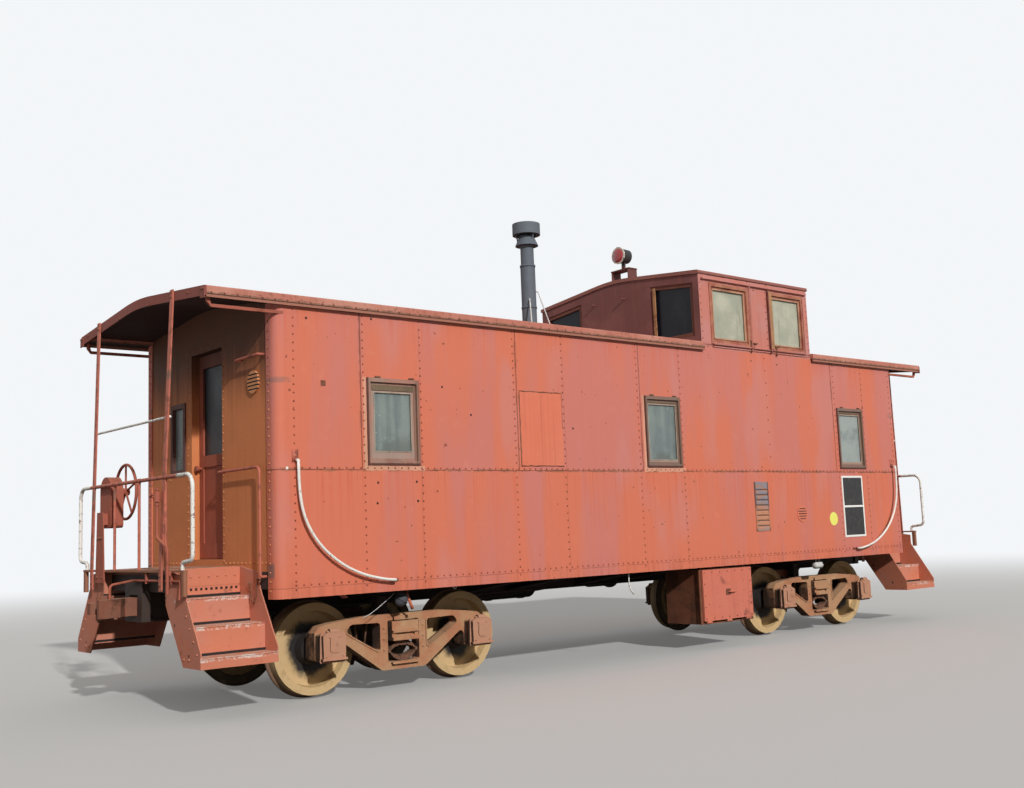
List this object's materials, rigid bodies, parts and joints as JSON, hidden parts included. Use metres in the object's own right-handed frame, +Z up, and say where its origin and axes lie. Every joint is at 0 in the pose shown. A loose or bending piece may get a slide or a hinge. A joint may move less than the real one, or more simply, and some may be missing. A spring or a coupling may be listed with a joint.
{
  "type": "caboose",
  "caption": "Steel railway caboose: riveted cabin with an offset cupola, open end platforms with steps and rails, stove pipe, marker lamp and leaf-sprung trucks on flanged wheels.",
  "frame": {"origin": "middle of the car at the level of the wheel flange tips", "axes": "+X along the car towards end b, +Y across it to the far side, +Z up"},
  "size_m": [11.76, 2.962, 5.0204],
  "materials": {
    "side_red": "faded chalky oxide red paint over riveted sheet",
    "end_tan": "weathered brown-red paint",
    "roof_red": "dull dark red paint, dusty",
    "window_trim": "rusty painted trim",
    "glass": "dusty glass",
    "deck_boards": "worn deck",
    "frame_black": "grimy dark underframe paint",
    "step_red": "worn red paint",
    "white_paint": "white safety paint",
    "stove_pipe": "sooty dark grey",
    "lamp_body": "black lamp body",
    "red_lens": "red lens",
    "rusty_casting": "rusted casting",
    "truck_dust": "dust covered cast steel",
    "wheel_steel": "dusty wheel steel"
  },
  "bodies": {
    "carbody": {"side_wall_near": "side_red", "side_wall_far": "side_red", "end_wall_a": "end_tan", "end_wall_b": "end_tan", "window_frames": "window_trim", "window_glass": "glass", "cabin_floor": "deck_boards", "main_roof": "roof_red", "roof_end_angles": "roof_red", "cupola_walls": "roof_red", "cupola_roof": "roof_red", "cupola_sashes": "window_trim", "cupola_glass": "glass", "underframe": "frame_black", "platform_decks": "deck_boards", "steps_a": "step_red", "steps_b": "step_red", "end_railing_a": "step_red", "end_railing_b": "step_red", "brake_stand_a": "step_red", "brake_stand_b": "step_red", "grab_irons": "white_paint", "chimney": "stove_pipe", "marker_light": "lamp_body", "marker_lens": "red_lens", "battery_box": "side_red", "air_reservoir": "frame_black", "brake_cylinder": "frame_black", "coupler_a": "rusty_casting", "coupler_b": "rusty_casting", "vents": "side_red", "data_plates": "white_paint", "canopy_bars": "side_red", "cupola_trim": "roof_red", "post_rods": "white_paint", "valve_pipes": "step_red", "uncoupling_levers": "step_red"},
    "truck_a": {"truck_a_side_frames": "truck_dust", "truck_a_bolster": "truck_dust", "truck_a_springs": "truck_dust", "truck_a_brakes": "truck_dust"},
    "wheelset_a1": {"wheelset_a1": "wheel_steel"},
    "wheelset_a2": {"wheelset_a2": "wheel_steel"},
    "door_a": {"door_a": "end_tan", "door_glass_a": "glass"},
    "handwheel_a": {"handwheel_a": "step_red"},
    "knuckle_a": {"knuckle_a": "rusty_casting"},
    "truck_b": {"truck_b_side_frames": "truck_dust", "truck_b_bolster": "truck_dust", "truck_b_springs": "truck_dust", "truck_b_brakes": "truck_dust"},
    "wheelset_b1": {"wheelset_b1": "wheel_steel"},
    "wheelset_b2": {"wheelset_b2": "wheel_steel"},
    "door_b": {"door_b": "end_tan", "door_glass_b": "glass"},
    "handwheel_b": {"handwheel_b": "step_red"},
    "knuckle_b": {"knuckle_b": "rusty_casting"},
    "battery_door": {"battery_door": "side_red"}
  },
  "joints": [
    {"name": "truck_a_swivel", "type": "hinge", "parent": "carbody", "child": "truck_a", "pos_m": [-3.296, 0, 0.7154], "axis": [0, 0, 1], "range_deg": [-10, 10]},
    {"name": "wheelset_a1_roll", "type": "hinge", "parent": "truck_a", "child": "wheelset_a1", "pos_m": [-4.134, 0, 0.4444], "axis": [0, 1, 0], "continuous": true},
    {"name": "wheelset_a2_roll", "type": "hinge", "parent": "truck_a", "child": "wheelset_a2", "pos_m": [-2.458, 0, 0.4444], "axis": [0, 1, 0], "continuous": true},
    {"name": "door_a_swing", "type": "hinge", "parent": "carbody", "child": "door_a", "pos_m": [-4.674, -0.357, 2.2], "axis": [0, 0, -1], "range_deg": [0, 100]},
    {"name": "handwheel_a_turn", "type": "hinge", "parent": "carbody", "child": "handwheel_a", "pos_m": [-5.3, 0.7, 1.9604], "axis": [1, 0, 0], "continuous": true},
    {"name": "knuckle_a_swing", "type": "hinge", "parent": "carbody", "child": "knuckle_a", "pos_m": [-5.77, 0.095, 0.9014], "axis": [0, 0, -1], "range_deg": [0, 45]},
    {"name": "truck_b_swivel", "type": "hinge", "parent": "carbody", "child": "truck_b", "pos_m": [3.296, 0, 0.7154], "axis": [0, 0, 1], "range_deg": [-10, 10]},
    {"name": "wheelset_b1_roll", "type": "hinge", "parent": "truck_b", "child": "wheelset_b1", "pos_m": [2.458, 0, 0.4444], "axis": [0, 1, 0], "continuous": true},
    {"name": "wheelset_b2_roll", "type": "hinge", "parent": "truck_b", "child": "wheelset_b2", "pos_m": [4.134, 0, 0.4444], "axis": [0, 1, 0], "continuous": true},
    {"name": "door_b_swing", "type": "hinge", "parent": "carbody", "child": "door_b", "pos_m": [4.674, 0.357, 2.2], "axis": [0, 0, -1], "range_deg": [0, 100]},
    {"name": "handwheel_b_turn", "type": "hinge", "parent": "carbody", "child": "handwheel_b", "pos_m": [5.3, -0.7, 1.9604], "axis": [1, 0, 0], "continuous": true},
    {"name": "knuckle_b_swing", "type": "hinge", "parent": "carbody", "child": "knuckle_b", "pos_m": [5.77, -0.095, 0.9014], "axis": [0, 0, -1], "range_deg": [0, 45]},
    {"name": "battery_door_drop", "type": "hinge", "parent": "carbody", "child": "battery_door", "pos_m": [1.0425, -1.378, 0.3154], "axis": [1, 0, 0], "range_deg": [0, 100]}
  ]
}
